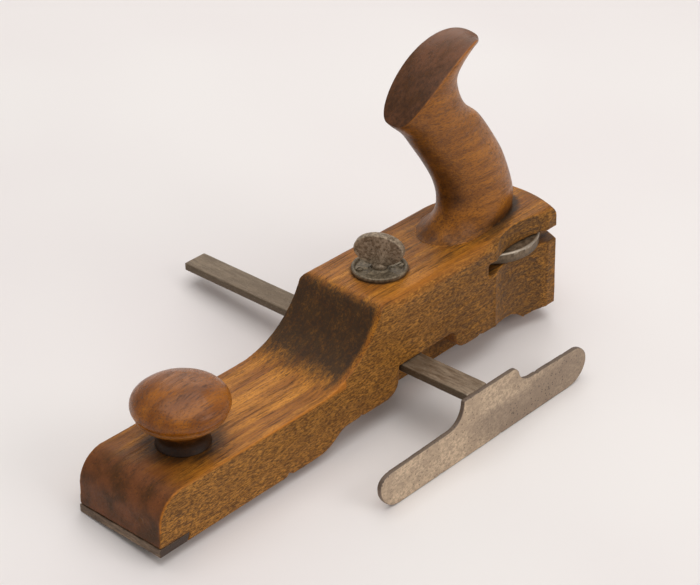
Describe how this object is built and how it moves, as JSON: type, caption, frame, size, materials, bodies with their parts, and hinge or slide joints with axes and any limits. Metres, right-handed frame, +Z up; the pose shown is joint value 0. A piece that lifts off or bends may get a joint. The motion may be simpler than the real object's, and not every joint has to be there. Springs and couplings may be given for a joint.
{
  "type": "marking gauge",
  "caption": "Handled wooden marking and slitting gauge with a front knob, a sliding steel fence, a thumb screw clamp and a disc nut that sets the knife.",
  "frame": {"origin": "on the sole, straight below the thumb screw's axis", "axes": "+X along the stock from the toe to the rear end, +Y to the left side (away from the fence), +Z up from the sole"},
  "size_m": [0.2786, 0.1898, 0.1678],
  "materials": {
    "stock_wood": "worn satin varnish",
    "knob_wood": "worn satin varnish",
    "steel": "aged, mottled",
    "dark_iron": "aged, dark"
  },
  "bodies": {
    "gauge_body": {"stock": "stock_wood", "handle": "stock_wood", "front_knob": "knob_wood", "toe_wear_plate": "dark_iron", "toe_plate_screw_right": "steel", "toe_plate_screw_left": "steel", "escutcheon_nut": "dark_iron", "escutcheon_screw_left": "steel", "escutcheon_screw_right": "steel", "guide_plate": "steel", "guide_plate_screw_front": "steel", "guide_plate_screw_rear": "steel"},
    "sliding_fence": {"beam": "steel", "fence_plate": "steel"},
    "clamp_shoe": {"pressure_shoe": "steel"},
    "clamp_screw": {"thumb_screw": "dark_iron"},
    "adjusting_disc": {"disc_nut": "steel"},
    "knife_carrier": {"cutter_shank": "steel", "knife": "steel", "knife_screw": "steel"}
  },
  "joints": [
    {"name": "beam_slide", "type": "slide", "parent": "gauge_body", "child": "sliding_fence", "axis": [0, 1, 0], "range_m": [-0.095, 0.0386]},
    {"name": "shoe_lift", "type": "slide", "parent": "gauge_body", "child": "clamp_shoe", "axis": [0, 0, 1], "range_m": [0, 0.00225]},
    {"name": "thumb_turn", "type": "hinge", "parent": "clamp_shoe", "child": "clamp_screw", "pos_m": [0, 0, 0.07], "axis": [0, 0, 1], "range_deg": [0, 545]},
    {"name": "disc_turn", "type": "hinge", "parent": "gauge_body", "child": "adjusting_disc", "pos_m": [0.079, 0, 0.0445], "axis": [0, 0, 1], "range_deg": [0, 1800]},
    {"name": "knife_slide", "type": "slide", "parent": "gauge_body", "child": "knife_carrier", "axis": [0, 0, 1], "range_m": [-0.0101, 0]}
  ],
  "couplings": [
    {"joint": "thumb_turn", "follows": "shoe_lift", "rad_per_m": 4188.8},
    {"joint": "knife_slide", "follows": "disc_turn", "m_per_rad": -0.00031831}
  ]
}
